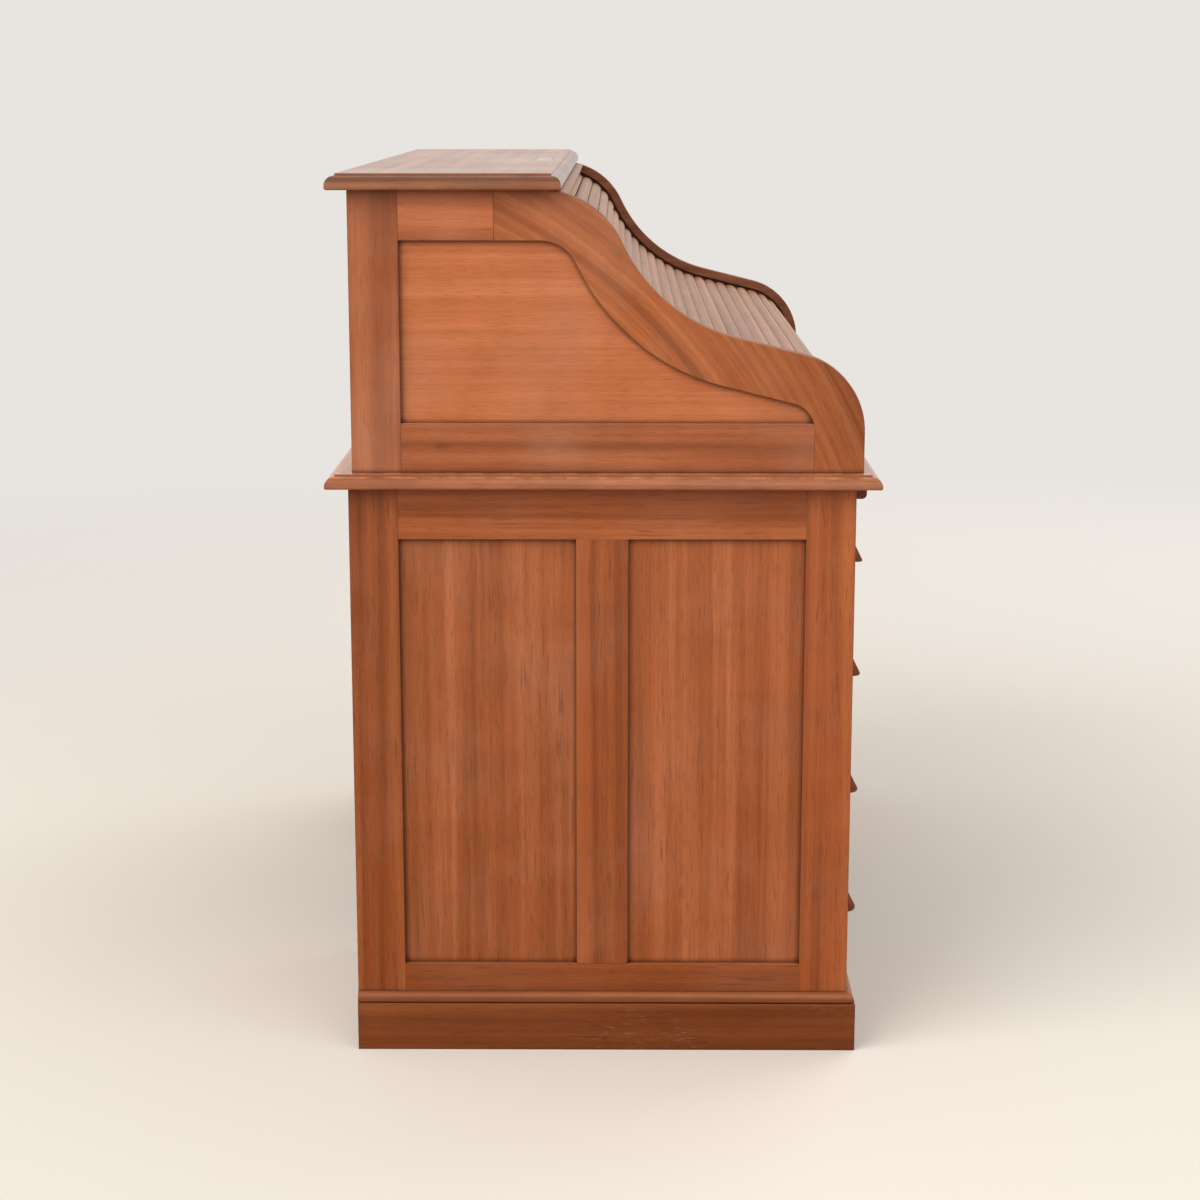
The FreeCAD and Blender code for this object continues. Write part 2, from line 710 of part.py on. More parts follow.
def pedestal_drawers():
    left = f"({INSIDE_LEFT} + drawer_play)"
    width = f"({BAY_WIDTH} - 2 * drawer_play)"
    for k in range(DRAWERS):
        low = f"({opening_low(k)} + rest_play)"
        height = f"({opening_height(k)} - rest_play - drawer_play)"
        for piece in dovetailed_drawer(f"drawer_left_{k + 1}", left, width, low, height, "drawer_length"):
            label = piece.Label.replace("left", "right")
            node(mirrored(piece, label), label)


def slides():
    """A writing slide over the drawers of each pedestal, with a rounded front that sticks out as a grip."""
    body = doc.addObject("PartDesign::Body", "slide_left")
    width = value(f"{BAY_WIDTH} - 2 * slide_play")
    outline = rectangle((0, value("0 - slide_lip")), (width, value("slide_length - slide_lip")))
    pad(body, sketch(body, "XY_Plane", outline), "slide_thick")
    tip = value("0 - slide_lip")
    dress(body, "Fillet", "Radius", "slide_nose", lambda e: level(e, "Y", tip) and e.Length > width / 2)
    for axis, start in zip("xyz", (f"{INSIDE_LEFT} + slide_play", PEDESTAL_FRONT, SLIDE_LOW)):
        body.setExpression(f"Placement.Base.{axis}", bound(start))
    node(body, "slide_left")
    node(mirrored(body, "slide_right"), "slide_right")


def kneehole_drawer():
    left = f"({KNEEHOLE_LEFT} + drawer_play)"
    width = "(case_width - 2 * pedestal_width - 2 * drawer_play)"
    low = f"({UNDER} - drawer_play - kneehole_front)"
    dovetailed_drawer("kneehole_drawer", left, width, low, "kneehole_front", "kneehole_length")
    bearer = board("bearer", (KNEEHOLE_LEFT, "bearer"), (f"{PEDESTAL_FRONT} + front_thick", "kneehole_length"),
                   (f"{low} - rest_play - bearer", "bearer"))
    group("kneehole_bearers", [bearer, mirrored(bearer, "bearer_right")])


# Tambour
CANVAS_FRONT = f"({CASE_BACK} - case_depth + tambour_drop)"


def tambour_place(distance):
    """Y, Z and heading on the canvas line of the tambour, this far along it from the writing board."""
    low = value("board_height")
    drop = value("tambour_drop")
    shelf = shelf_to(value("storage_back + storage_radius"))
    place = (edge_start(-drop, low)[0], low)
    heading = 90
    for reach, turn in edge_moves(-drop, low, shelf, True):
        length = reach * math.radians(abs(turn)) if turn else reach
        if distance <= length:
            share = distance / length
            place, heading = ahead(place, heading, reach if turn else reach * share, turn * share)
            break
        place, heading = ahead(place, heading, reach, turn)
        distance -= length
    return value(f"{CASE_BACK} - case_depth") + place[0], place[1], heading


def slat_pattern():
    """One slat lying flat at the origin, and the strip of canvas under it."""
    half = value("(slat_pitch - slat_gap) / 2")
    high = value("slat_thick")
    shoulder = value("slat_shoulder")
    crest = half - value("slat_relief")
    outline = polygon([(-crest, shoulder), (-half, 0), (half, 0), (crest, shoulder)])[:3]
    outline.append(arc((crest, shoulder), (0, high), (-crest, shoulder)))
    length = "case_width - 2 * side_thick + 2 * (groove_depth - groove_end_play)"
    slat = doc.addObject("PartDesign::Body", "slat_pattern")
    pad(slat, sketch(slat, "YZ_Plane", outline, f"0 - ({length}) / 2"), length)
    canvas = board("canvas_pattern", (f"0 - {INSIDE_WIDTH} / 2 + lift_end_play", f"{INSIDE_WIDTH} - 2 * lift_end_play"),
                   ("0 - (slat_pitch - slat_gap) / 2", "slat_pitch - slat_gap"), ("0 - canvas_thick", "canvas_thick"))
    doc.recompute()
    return [slat.Shape.copy(), canvas.Shape.copy()]


def tambour_slats():
    """The slats in pairs, each slat square to the canvas line where it lies when the desk is shut."""
    pattern = slat_pattern()
    pitch = value("slat_pitch")
    first = value("rest_play + lift_height + slat_pitch / 2")
    for pair in range(round(value("slat_count")) // 2):
        pieces = []
        for slat in (2 * pair, 2 * pair + 1):
            y, z, heading = tambour_place(first + slat * pitch)
            turn = FreeCAD.Rotation(FreeCAD.Vector(1, 0, 0), heading)
            seat = FreeCAD.Placement(FreeCAD.Vector(0, y, z), turn)
            pieces += [shape.transformed(seat.toMatrix()) for shape in pattern]
        label = f"tambour_slats_{pair + 1:02d}"
        feature = doc.addObject("Part::Feature", label)
        feature.Shape = Part.makeCompound(pieces)
        node(feature, label)


def lift_rail():
    """The flat rail that ends the tambour, with two lifts, a lock behind it and a keyhole plate on it."""
    face = f"({CANVAS_FRONT} - lift_thick)"
    low = "(board_height + rest_play)"
    body = doc.addObject("PartDesign::Body", "lift_rail")
    half = value(f"{INSIDE_WIDTH} / 2 - lift_end_play")
    outline = rectangle((-half, 0), (half, value("lift_height")))
    pad(body, sketch(body, "XZ_Plane", outline, "0 - lift_thick"), "lift_thick")
    dress(body, "Fillet", "Radius", "lift_round", lambda e: level(e, "Y", 0) and e.Length > half)
    body.setExpression("Placement.Base.y", bound(face))
    body.setExpression("Placement.Base.z", bound(low))
    node(body, "lift_rail")

    size = ("lift_pull_width", "lift_pull_reach", "lift_pull_height")
    pull = lip_handle("lift_pull", size, "(0 - lift_pull_spread / 2)", face, f"({low} + lift_height / 2)")
    group("lift_pulls", [pull, mirrored(pull, "lift_pull_right")])

    middle = f"({low} + lift_height / 2)"
    case = board("lock_case", ("0 - lock_width / 2", "lock_width"), (CANVAS_FRONT, "lock_thick"),
                 (f"{middle} - lock_height / 2", "lock_height"))
    plate = board("escutcheon_blank", ("0 - escutcheon_width / 2", "escutcheon_width"),
                  (f"{face} - escutcheon_thick", "escutcheon_thick"),
                  (f"{middle} - escutcheon_height / 2", "escutcheon_height"))
    hole = doc.addObject("Part::Cylinder", "keyhole_round")
    hole.setExpression("Radius", bound("keyhole_radius"))
    hole.setExpression("Height", bound("3 * escutcheon_thick"))
    hole.Placement.Rotation = FreeCAD.Rotation(FreeCAD.Vector(1, 0, 0), 90)
    hole.setExpression("Placement.Base.y", bound(f"{face} + escutcheon_thick"))
    hole.setExpression("Placement.Base.z", bound(f"{middle} + keyhole_slot / 2"))
    slot = board("keyhole_slit", ("0 - keyhole_radius / 2", "keyhole_radius"),
                 (f"{face} - 2 * escutcheon_thick", "3 * escutcheon_thick"),
                 (f"{middle} - keyhole_slot / 2", "keyhole_slot"))
    keyhole = doc.addObject("Part::Fuse", "keyhole")
    keyhole.Base = hole
    keyhole.Tool = slot
    group("tambour_lock", [case, cut("escutcheon", plate, keyhole)])


def valance():
    """A rail between the sides that follows their edge from in front of the top board to under it."""
    centre = (value(f"{CASE_BACK} - crown_back"), value(f"{CASE_TOP} - crown_radius"))
    crown = value("crown_radius")
    lean = math.asin(value("top_front_overhang + valance_nose") / crown)
    back = centre[0] + value("valance_tail")
    outline = []
    ends = []
    for radius in (crown, crown - value("valance_thick")):
        front, middle, top = ((centre[0] - radius * math.sin(a), centre[1] + radius * math.cos(a))
                              for a in (lean, lean / 2, 0))
        tail = (back, top[1])
        outline += [arc(front, middle, top), line(top, tail)]
        ends += [front, tail]
    outline += [line(ends[0], ends[2]), line(ends[1], ends[3])]
    body = doc.addObject("PartDesign::Body", "tambour_valance")
    pad(body, sketch(body, "YZ_Plane", outline), INSIDE_WIDTH)
    body.setExpression("Placement.Base.x", bound(INSIDE_LEFT))
    node(body, "tambour_valance")


# Pigeonhole fitting
FITTING_BACK = f"({CASE_BACK} - storage_back - pigeon_back_gap)"
FITTING_FRONT = f"({FITTING_BACK} - pigeon_board - pigeon_depth)"
FITTING_Y = (FITTING_FRONT, "pigeon_depth")
BAY_LEFT = f"({INSIDE_LEFT} + pigeon_play + pigeon_board)"
FLOOR = "(board_height + pigeon_board)"
CLEAR_HEIGHT = "(pigeon_height - 2 * pigeon_board)"


def pigeonholes():
    span = (f"{INSIDE_LEFT} + pigeon_play", f"{INSIDE_WIDTH} - 2 * pigeon_play")
    end = board("fitting_end", (span[0], "pigeon_board"), FITTING_Y, (FLOOR, CLEAR_HEIGHT))
    case = [
        board("fitting_base", span, FITTING_Y, ("board_height", "pigeon_board")),
        board("fitting_top", span, FITTING_Y, (f"{FLOOR} + {CLEAR_HEIGHT}", "pigeon_board")),
        board("fitting_back", span, (f"{FITTING_BACK} - pigeon_board", "pigeon_board"),
              ("board_height", "pigeon_height")),
        end, mirrored(end, "fitting_end_right"),
    ]
    group("pigeonhole_case", case)

    upright_x = f"({BAY_LEFT} + pigeon_bay)"
    shelf_z = f"({FLOOR} + small_front + drawer_play)"
    above = (f"{shelf_z} + pigeon_divider", f"{CLEAR_HEIGHT} - small_front - drawer_play - pigeon_divider")
    upright = board("upright", (upright_x, "pigeon_board"), FITTING_Y, (FLOOR, CLEAR_HEIGHT))
    shelf = board("bay_shelf", (BAY_LEFT, "pigeon_bay"), FITTING_Y, (shelf_z, "pigeon_divider"))
    split = board("bay_divider", (f"{BAY_LEFT} + (pigeon_bay - pigeon_divider) / 2", "pigeon_divider"), FITTING_Y,
                  above)
    middle_x = f"({upright_x} + pigeon_board)"
    middle_width = f"(0 - 2 * {middle_x})"
    middle_z = f"{FLOOR} + pigeon_shelf"
    third = f"({middle_width} / 3)"
    middle_shelf = board("middle_shelf", (middle_x, middle_width), FITTING_Y, (middle_z, "pigeon_divider"))
    over = (f"{middle_z} + pigeon_divider", f"{CLEAR_HEIGHT} - pigeon_shelf - pigeon_divider")
    middle_split = board("middle_divider", (f"{middle_x} + {third} - pigeon_divider / 2", "pigeon_divider"),
                         FITTING_Y, over)
    paired = [upright, shelf, split, middle_split]
    group("pigeonhole_dividers", paired + [mirrored(p, p.Name + "_right") for p in paired] + [middle_shelf])


def small_drawers():
    """A small drawer with a turned knob at the foot of each end bay of the fitting."""
    left = f"({BAY_LEFT} + drawer_play)"
    width = "(pigeon_bay - 2 * drawer_play)"
    low = f"({FLOOR} + rest_play)"
    height = "(small_front - rest_play)"
    thick = "small_board"
    deep = "(pigeon_depth - drawer_play)"
    inside = (f"{left} + {thick}", f"{width} - 2 * {thick}")
    sides_y = (f"{FITTING_FRONT} + {thick}", f"{deep} - {thick}")
    upright = (low, f"{height} - drawer_headroom")
    knob = doc.addObject("PartDesign::Body", "small_knob")
    radius = value("knob_radius")
    neck = value("knob_neck")
    reach = value("knob_reach")
    rim = value("knob_rim")
    outline = polygon([(0, 0), (neck, 0), (neck, reach - radius + neck - 2 * rim), (radius, reach - 2 * rim),
                       (radius, reach - rim), (radius - rim, reach), (0, reach)])
    turning = knob.newObject("PartDesign::Revolution", "small_knob_turning")
    turned_half = sketch(knob, "XY_Plane", outline)
    turning.Profile = turned_half
    turning.ReferenceAxis = (turned_half, ["V_Axis"])
    turning.Angle = 360
    knob.Placement.Rotation = FreeCAD.Rotation(FreeCAD.Vector(1, 0, 0), 180)
    for axis, start in zip("xyz", (f"{left} + {width} / 2", FITTING_FRONT, f"{low} + {height} / 2")):
        knob.setExpression(f"Placement.Base.{axis}", bound(start))
    pieces = [
        board("small_face", (left, width), (FITTING_FRONT, thick), (low, height)),
        board("small_side_1", (left, thick), sides_y, upright),
        board("small_side_2", (f"{left} + {width} - {thick}", thick), sides_y, upright),
        board("small_back", inside, (f"{FITTING_FRONT} + {deep} - {thick}", thick), upright),
        board("small_bottom", inside, (f"{FITTING_FRONT} + {thick}", f"{deep} - 2 * {thick}"), (low, "pigeon_divider")),
        knob,
    ]
    drawer = group("small_drawer_left", pieces)
    node(mirrored(drawer, "small_drawer_right"), "small_drawer_right")


for build in (boards, plinths, plinth_mouldings, pedestal_sides, upper_sides, backs, inner_sides, drawer_rails,
              pedestal_drawers, slides, kneehole_drawer, tambour_slats, lift_rail, valance, pigeonholes,
              small_drawers):
    build()
doc.recompute()

for obj in doc.Objects:
    if "Invalid" in obj.State or "Error" in obj.State:
        raise RuntimeError(f"{obj.Label} failed: {obj.State}")
for obj in NODES:
    if obj.Shape.isNull() or not obj.Shape.isValid():
        raise RuntimeError(f"{obj.Label} has no valid shape")
os.makedirs("parts", exist_ok=True)
for obj in NODES:
    obj.Shape.exportStep(f"parts/{obj.Label}.step")
print(len(NODES), "nodes")
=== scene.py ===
"""Finishes of the roll-top desk, a pale studio round it, and a camera at the photograph's angle."""
import math

import bpy
import numpy as np
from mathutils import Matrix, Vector

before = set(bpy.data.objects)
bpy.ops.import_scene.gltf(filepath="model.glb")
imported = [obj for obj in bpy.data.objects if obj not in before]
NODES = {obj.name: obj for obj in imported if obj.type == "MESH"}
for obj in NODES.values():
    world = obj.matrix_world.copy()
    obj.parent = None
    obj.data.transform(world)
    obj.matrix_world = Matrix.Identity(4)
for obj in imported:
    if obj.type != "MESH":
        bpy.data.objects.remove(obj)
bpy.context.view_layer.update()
MM = 0.001
X, Y, Z = 0, 1, 2
rng = np.random.default_rng(7)


def linear(hex_colour):
    """An sRGB hex colour as the linear colour that a shader takes."""
    parts = [int(hex_colour[i:i + 2], 16) / 255 for i in (1, 3, 5)]
    return tuple(p / 12.92 if p <= 0.04045 else ((p + 0.055) / 1.055) ** 2.4 for p in parts) + (1,)


# Boards: the solids of each node, and the grain that each of them was cut with
def boards_of(mesh):
    """The faces of each closed solid, taken in order until every edge has met its twin."""
    digits = 6
    where = {}
    places = [where.setdefault(tuple(round(c, digits) for c in v.co), v.index) for v in mesh.vertices]
    boards, faces, waiting = [], [], set()
    for face in mesh.polygons:
        faces.append(face.index)
        corners = [places[v] for v in face.vertices]
        for a, b in zip(corners, corners[1:] + corners[:1]):
            if (b, a) in waiting:
                waiting.remove((b, a))
            elif a != b:
                waiting.add((a, b))
        if not waiting:
            boards.append(faces)
            faces = []
    if faces:
        boards.append(faces)
    return boards


class Board:
    """One solid of a node: its faces, low corner, size, and its axes from the grain to the thinnest way."""

    def __init__(self, mesh, faces, along):
        self.faces = faces
        places = np.array([mesh.vertices[v].co for f in faces for v in mesh.polygons[f].vertices])
        self.low = places.min(0)
        self.size = places.max(0) - self.low
        self.axes = list(np.argsort(-self.size))
        if along is not None:
            self.axes.remove(along)
            self.axes.insert(0, along)


def lay_grain(name, along=None, tones=None):
    """Write for each point its place in its own board: grain from the low corner, and rest to the high one.

    A lot is drawn for each board: how pale it is, unless tones say so, and which piece of wood it shows.
    Cut is one on faces that cross the grain. There the streaks run along the face, but not on a short
    carved piece.
    """
    carved = 200 * MM
    end_grain = 0.6
    lowest_lot, highest_lot = (0.3, 0, 0), (0.5, 1, 1)
    mesh = NODES[name].data
    boards = [Board(mesh, faces, along) for faces in boards_of(mesh)]
    values = {key: np.zeros((len(mesh.loops), 3), np.float32) for key in ("grain", "rest", "lot")}
    cut = mesh.attributes.new("cut", "FLOAT", "FACE")
    for number, board in enumerate(boards):
        lot = rng.uniform(lowest_lot, highest_lot)
        if tones:
            lot[0] = tones[number]
        for face in board.faces:
            polygon = mesh.polygons[face]
            corners = list(polygon.loop_indices)
            local = np.array([mesh.vertices[v].co for v in polygon.vertices]) - board.low
            crossing = abs(polygon.normal[board.axes[0]])
            turned = crossing > end_grain and board.size.max() > carved
            order = board.axes[1:] + board.axes[:1] if turned else board.axes
            cut.data[face].value = crossing
            values["grain"][corners] = local[:, order]
            values["rest"][corners] = (board.size - local)[:, order]
            values["lot"][corners] = lot
    for key, rows in values.items():
        attribute = mesh.attributes.new(key, "FLOAT_VECTOR", "CORNER")
        attribute.data.foreach_set("vector", rows.ravel())
    return boards


def finish_faces(name, material, choose):
    """Give one more material to the faces of a node that choose(face) picks."""
    mesh = NODES[name].data
    mesh.materials.append(material)
    for face in mesh.polygons:
        if choose(face):
            face.material_index = len(mesh.materials) - 1


def finish(name, boards, choose):
    """Give each board of a node the material that choose(board) names."""
    mesh = NODES[name].data
    mesh.materials.clear()
    for board in boards:
        material = choose(board)
        if material.name not in mesh.materials:
            mesh.materials.append(material)
        index = mesh.materials.find(material.name)
        for face in board.faces:
            mesh.polygons[face].material_index = index


# Shader nodes
def add(tree, kind, inputs=None, stops=None, **settings):
    """Add a node: its settings, the stops of its ramp, and its inputs as values or as sockets to link."""
    made = tree.nodes.new(kind)
    for name, setting in settings.items():
        setattr(made, name, setting)
    if stops:
        ramp = made.color_ramp.elements
        while len(ramp) < len(stops):
            ramp.new(0.5)
        for element, (place, colour) in zip(ramp, stops):
            element.position = place
            element.color = colour
    for socket, given in (inputs or {}).items():
        if isinstance(given, bpy.types.NodeSocket):
            tree.links.new(given, made.inputs[socket])
        else:
            made.inputs[socket].default_value = given
    return made


def worked_out(tree, operation, a, b):
    """One number worked out from two."""
    return add(tree, "ShaderNodeMath", {0: a, 1: b}, operation=operation).outputs[0]


def vector(tree, operation, a, b, output="Vector"):
    """A vector, or with output Value a number, worked out from two vectors."""
    return add(tree, "ShaderNodeVectorMath", {0: a, 1: b}, operation=operation).outputs[output]


def split(tree, whole):
    """The X, Y and Z of a vector."""
    return add(tree, "ShaderNodeSeparateXYZ", {0: whole}).outputs


def graded(tree, fac, low, high, start=0, end=1):
    """A value moved from one range to another, and held at its ends."""
    return add(tree, "ShaderNodeMapRange", {"Value": fac, "From Min": low, "From Max": high, "To Min": start,
                                            "To Max": end}).outputs[0]


def tinted(tree, base, colour, amount, blend="MIX"):
    """One colour laid over another."""
    mix = add(tree, "ShaderNodeMix", {"Factor": amount, "A": base, "B": colour},
              data_type="RGBA", blend_type=blend)
    return mix.outputs["Result"]


def shaded(tree, base, factor):
    """A colour made darker or paler by a factor."""
    return tinted(tree, base, factor, 1, "MULTIPLY")


def written(tree, key, output="Vector"):
    """What lay_grain wrote for each point of a board."""
    return add(tree, "ShaderNodeAttribute", attribute_name=key).outputs[output]


def object_place(tree):
    """A point's place in its object, in metres."""
    return add(tree, "ShaderNodeTexCoord").outputs["Object"]


def new_material(name):
    """A material without nodes, and its node tree."""
    material = bpy.data.materials.new(name)
    material.use_nodes = True
    tree = material.node_tree
    tree.nodes.clear()
    return material, tree


# What shows in wood and metal
PORE = "#4A2110"
RESIN = "#5A2A14"


def apart(tree, start):
    """The grain's place, moved by a step of each board's own, so that no two boards show the same wood."""
    metres = (9, 9, 9)
    return vector(tree, "ADD", start, vector(tree, "MULTIPLY", written(tree, "lot"), metres))


def sweep_grain(tree):
    """Grain that bends round a centre low behind the rail, as in a plank from the foot of a leaning trunk."""
    centre = (0, 453 * MM, 456 * MM)
    radius = 770 * MM
    side_view = (0, 1, 1)
    arm = vector(tree, "SUBTRACT", object_place(tree), centre)
    ways = split(tree, arm)
    along = worked_out(tree, "MULTIPLY", worked_out(tree, "ARCTAN2", ways["Y"], ways["Z"]), radius)
    flat = vector(tree, "MULTIPLY", arm, side_view)
    across = add(tree, "ShaderNodeVectorMath", {0: flat}, operation="LENGTH").outputs["Value"]
    return add(tree, "ShaderNodeCombineXYZ", {"X": along, "Y": across, "Z": ways["X"]}).outputs[0]


def streaks(tree, grain, long_mm, wide_mm, detail, distortion=0):
    """Noise drawn out along the grain, from one streak's length and width, and thinner through the board."""
    thinner = 3
    scale = (1 / (long_mm * MM), 1 / (wide_mm * MM), thinner / (wide_mm * MM))
    noise = add(tree, "ShaderNodeTexNoise",
                {"Vector": vector(tree, "MULTIPLY", grain, scale), "Scale": 1, "Detail": detail,
                 "Roughness": 0.5, "Distortion": distortion})
    return noise.outputs["Fac"]


def clouds(tree, grain, size_mm):
    """Soft patches of one size, the same along and across the grain."""
    noise = add(tree, "ShaderNodeTexNoise", {"Vector": grain, "Scale": 1 / (size_mm * MM), "Detail": 3})
    return noise.outputs["Fac"]


def sparse_marks(tree, grain):
    """Small dents and pin knots, about one in each cell of wood."""
    cell_mm = (250, 100, 100)
    cells = vector(tree, "MULTIPLY", grain, [1 / (size * MM) for size in cell_mm])
    near = add(tree, "ShaderNodeTexVoronoi", {"Vector": cells, "Scale": 1, "Randomness": 1})
    return graded(tree, near.outputs["Distance"], 0.06, 0.02, 0, 0.3)


def edge_distances(tree):
    """How far a point is from the nearer end, the nearer edge and the nearer face of its board."""
    return split(tree, vector(tree, "MINIMUM", written(tree, "grain"), written(tree, "rest")))


def joint_lines(tree, wide_mm, most):
    """A hairline along the edges of each board's faces, where it meets the next one."""
    full_mm = 0.2
    ends, edges, faces = list(edge_distances(tree))
    # A point lies on a face, where one distance is zero, so the middle one of the three leads to the edge
    low = worked_out(tree, "MINIMUM", ends, edges)
    high = worked_out(tree, "MAXIMUM", ends, edges)
    nearest = worked_out(tree, "MAXIMUM", low, worked_out(tree, "MINIMUM", high, faces))
    return graded(tree, nearest, wide_mm * MM, full_mm * MM, 0, most)


def corners(tree, reach_mm, most):
    """How much dirt and old wax lies in the corners, with painted shade there too: where ambient occlusion
    finds a corner closed in, the corner is darkened the way shade would darken it.
    """
    clean_and_lit, dirty_and_shaded = 0.85, 0.4
    open_sky = add(tree, "ShaderNodeAmbientOcclusion", {"Distance": reach_mm * MM}, samples=8).outputs["AO"]
    return graded(tree, open_sky, clean_and_lit, dirty_and_shaded, 0, most)


def eased_edges(tree, radius_mm):
    """The normal of a face whose edges were rounded a little by hand."""
    return add(tree, "ShaderNodeBevel", {"Radius": radius_mm * MM}, samples=4).outputs["Normal"]


def rubbed_and_highlit_edges(tree, eased, most, upward):
    """How far the polish is rubbed off along outer edges, where an eased normal leaves the face's own, and
    how much painted highlight lies there, as on an edge that catches the light.

    Edges that look up are wiped and leaned on, and light falls on them from above, so their wear and their
    painted highlight have an amount of their own. The ends of a board lie in its joints, where nothing rubs.
    """
    joint, past_joint = 2 * MM, 5 * MM
    upright, sloping = 0.1, 0.4
    on_face, on_edge = 0.99, 0.85
    face = add(tree, "ShaderNodeNewGeometry").outputs["Normal"]
    same = vector(tree, "DOT_PRODUCT", eased, face, "Value")
    amount = graded(tree, split(tree, eased)["Z"], upright, sloping, most, upward)
    free = graded(tree, edge_distances(tree)["X"], joint, past_joint, 0, amount)
    return graded(tree, same, on_face, on_edge, 0, free)


def sapwood_edge(tree, grain, colour, wide_mm):
    """Wood that pales towards the sapwood along one edge, and is darkest where the heart begins."""
    waver_mm = 5
    palest = 5 * MM
    inner, outer, faded = [(wide_mm + step) * MM for step in (-1, 1, 20)]
    waver = graded(tree, streaks(tree, grain, 500, 60, 1), 0.3, 0.7, -waver_mm * MM, waver_mm * MM)
    place = worked_out(tree, "ADD", split(tree, written(tree, "rest"))["Y"], waver)
    heart = graded(tree, place, faded, outer, 0, graded(tree, place, inner, outer, 0, 0.22))
    colour = tinted(tree, colour, linear(RESIN), heart)
    return tinted(tree, colour, linear("#B4643A"), graded(tree, place, outer, palest, 0, 0.6))


# Materials
def polished_mahogany(name, dark, middle, light, band_mm=24, porous=0.24, haze="#BE8E76", hazy=0.12,
                      rough=0.42, shine=0.3, coat=0, corner_dirt_and_shade=0.75, flecked=0.45, scuffed=0, ease_mm=2,
                      edge_wear_and_highlight=0.45, upward_edge_wear_and_highlight=0.45, slope_shade=0, sapwood_mm=0, jointed=True, swept=False):
    """French-polished mahogany: soft long bands, fine fibres and short pores under a thin satin shellac film.

    The polish has gone cloudy in patches, and dark in the corners, where it was hard to rub, and painted
    shade darkens the corners further. Outer edges are paler where the polish is worn, and carry a painted
    highlight as well. Faces that slope up can be darkened as painted shade.
    """
    material, tree = new_material(name)
    start = sweep_grain(tree) if swept else written(tree, "grain")
    grain = apart(tree, start)
    bands = streaks(tree, grain, 1100, band_mm, 5, 0.4)
    colour = add(tree, "ShaderNodeValToRGB", {"Fac": bands},
                 stops=[(0.3, linear(dark)), (0.5, linear(middle)), (0.7, linear(light))]).outputs["Color"]
    fine = graded(tree, streaks(tree, grain, 260, band_mm / 4, 2), 0.3, 0.7, 0.92, 1.07)
    colour = shaded(tree, colour, fine)
    # Pores are about 0.3 mm wide; they are drawn 1.2 mm wide so that they show
    pores = graded(tree, streaks(tree, grain, 18, 1.2, 1), 0.52, 0.7, 0, porous)
    colour = tinted(tree, colour, linear(PORE), pores)
    # Dark resin fills a vessel here and there, more of them in some patches
    patches = clouds(tree, grain, 170)
    resin = graded(tree, patches, 0.42, 0.6, 0.2 * flecked, flecked)
    flecks = graded(tree, streaks(tree, grain, 45, 3, 0), 0.68, 0.76, 0, resin)
    colour = tinted(tree, colour, linear(RESIN), flecks)
    colour = tinted(tree, colour, linear(PORE), sparse_marks(tree, grain))
    if sapwood_mm:
        colour = sapwood_edge(tree, grain, colour, sapwood_mm)
    tone = split(tree, written(tree, "lot"))["X"]
    colour = shaded(tree, colour, graded(tree, tone, 0, 1, 0.6, 1.6))
    if swept:
        # The plank darkens towards the heart of the trunk
        colour = shaded(tree, colour, graded(tree, split(tree, start)["Y"], 730 * MM, 900 * MM, 1.08, 0.72))
    colour = tinted(tree, colour, linear(haze), graded(tree, patches, 0.45, 0.72, 0, hazy))
    colour = shaded(tree, colour, graded(tree, clouds(tree, grain, 70), 0.3, 0.7, 0.93, 1.06))
    if scuffed:
        # Shoes and brooms leave pale scuffs in a few places
        kicked = graded(tree, patches, 0.52, 0.62, 0, scuffed)
        scuffs = graded(tree, streaks(tree, grain, 16, 4, 3), 0.58, 0.72, 0, kicked)
        colour = tinted(tree, colour, linear("#B08C7A"), scuffs)
    # End grain drinks the polish, in patches, and stays darker
    thirst = graded(tree, clouds(tree, grain, 50), 0.35, 0.65, 0.6, 0.75)
    colour = shaded(tree, colour, graded(tree, written(tree, "cut", "Fac"), 0.1, 0.6, 1, thirst))
    if jointed:
        colour = tinted(tree, colour, linear("#3A1A0C"), joint_lines(tree, 0.8, 0.35))
    eased = eased_edges(tree, ease_mm)
    # Paler along outer edges: worn polish, plus a painted highlight where the edge would catch the light
    colour = tinted(tree, colour, linear("#C08A62"), rubbed_and_highlit_edges(tree, eased, edge_wear_and_highlight, upward_edge_wear_and_highlight))
    # Dirt and old wax in the corners, plus painted shade there: the more closed in a corner is, the darker it
    # is painted
    colour = tinted(tree, colour, linear("#34160A"), corners(tree, 9, corner_dirt_and_shade))
    if slope_shade:
        # Painted shade: faces that slope up, such as the upper round of a moulded edge, are darkened, while
        # faces that are flat or upright are left as they are
        tilt = split(tree, eased)["Z"]
        sloping = graded(tree, tilt, 0.97, 0.9, 0, graded(tree, tilt, 0.1, 0.45, 0, slope_shade))
        colour = tinted(tree, colour, linear("#4A2412"), sloping)
    relief = worked_out(tree, "SUBTRACT", fine, pores)
    normal = add(tree, "ShaderNodeBump", {"Strength": 0.1, "Distance": 0.4 * MM, "Height": relief,
                                          "Normal": eased}).outputs[0]
    gloss = graded(tree, patches, 0.3, 0.7, rough - 0.06, rough + 0.08)
    shader = add(tree, "ShaderNodeBsdfPrincipled",
                 {"Base Color": colour, "Roughness": gloss, "IOR": 1.5, "Specular IOR Level": shine,
                  "Normal": normal, "Coat Weight": coat, "Coat Roughness": 0.22, "Coat IOR": 1.5})
    add(tree, "ShaderNodeOutputMaterial", {"Surface": shader.outputs[0]})
    return material


